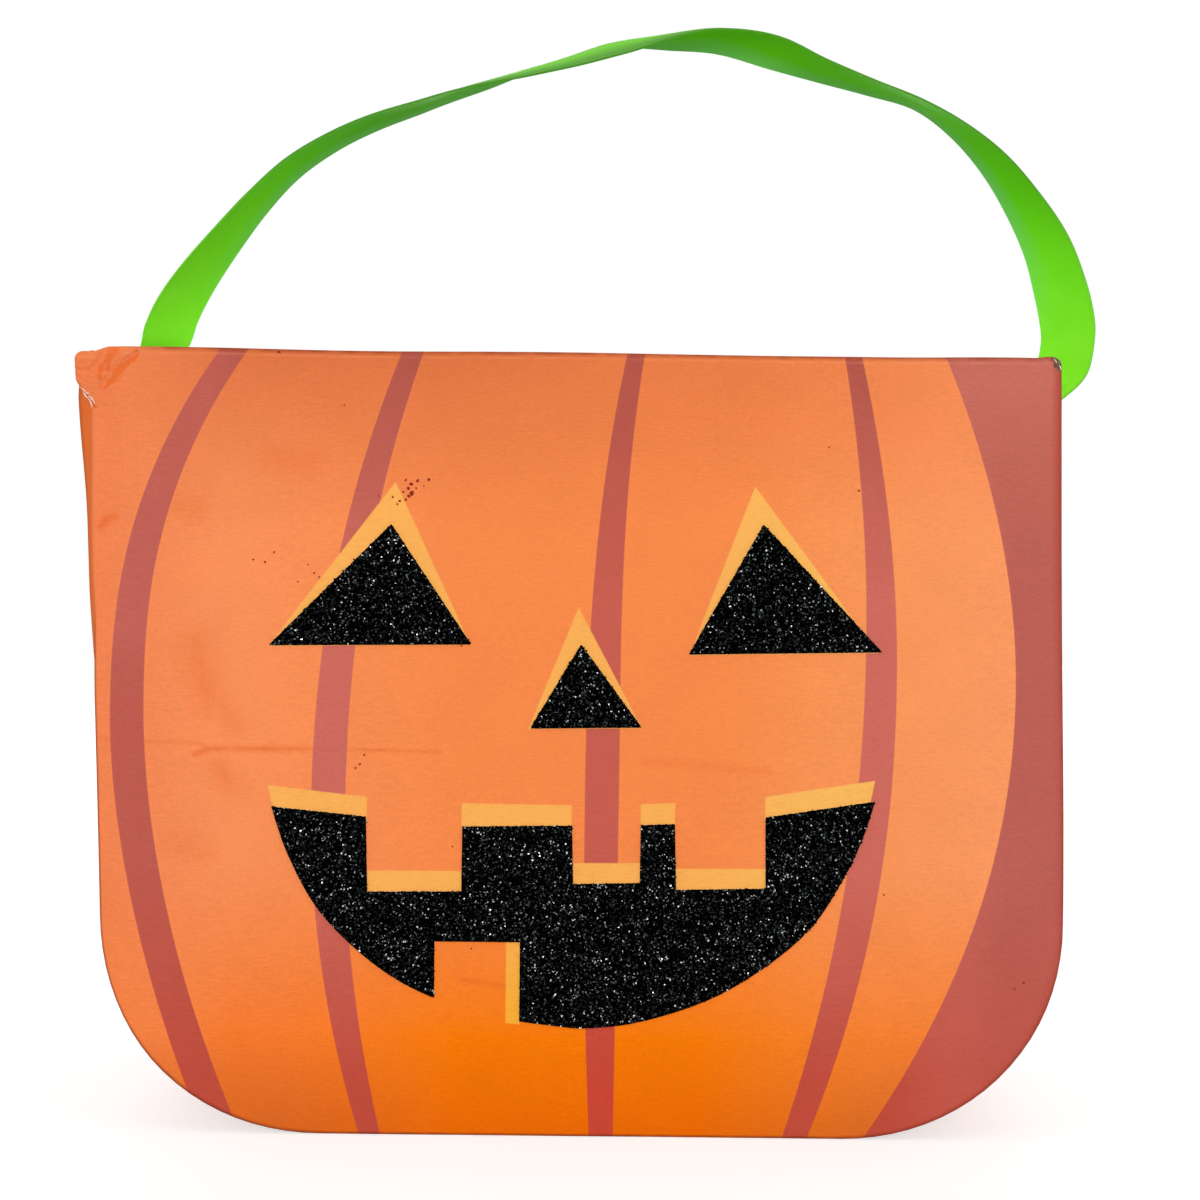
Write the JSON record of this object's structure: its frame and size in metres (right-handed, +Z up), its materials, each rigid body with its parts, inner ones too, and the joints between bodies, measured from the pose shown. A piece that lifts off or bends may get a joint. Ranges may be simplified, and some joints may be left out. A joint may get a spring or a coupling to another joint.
{
  "type": "pumpkin treat bag",
  "caption": "Open-topped paperboard treat bag with a rounded base, a lantern face in glitter pieces and a swinging ribbon handle knotted through its sides.",
  "frame": {"origin": "middle of the flat base, on the surface the bag stands on", "axes": "+Z up towards the handle, +X to the right seen from the front, +Y towards the back; the face looks along -Y"},
  "size_m": [0.2634, 0.1007, 0.2846],
  "materials": {
    "grey_board": "uncoated recycled grey board",
    "printed_paper": "matte printed paper, orange with brick-red rib stripes",
    "lining_paper": "plain uncoated lining paper",
    "stay_tape": "gummed brown paper tape",
    "black_glitter": "coarse black glitter on card",
    "green_ribbon": "lime green satin ribbon"
  },
  "bodies": {
    "bag": {"front_board": "grey_board", "front_wrap": "printed_paper", "front_liner": "lining_paper", "front_stay_tape": "stay_tape", "back_board": "grey_board", "back_wrap": "printed_paper", "back_liner": "lining_paper", "back_stay_tape": "stay_tape", "gusset_board": "grey_board", "gusset_wrap": "printed_paper", "gusset_liner": "lining_paper", "left_eye_glitter": "black_glitter", "right_eye_glitter": "black_glitter", "nose_glitter": "black_glitter", "mouth_glitter": "black_glitter", "left_ribbon_leg": "green_ribbon", "right_ribbon_leg": "green_ribbon", "left_knot": "green_ribbon", "right_knot": "green_ribbon"},
    "handle": {"ribbon_arch": "green_ribbon"}
  },
  "joints": [
    {"name": "handle_swing", "type": "hinge", "parent": "bag", "child": "handle", "pos_m": [0, 0, 0.184], "axis": [1, 0, 0], "range_deg": [-60, 60], "deforming": ["left_ribbon_leg", "right_ribbon_leg"]}
  ]
}
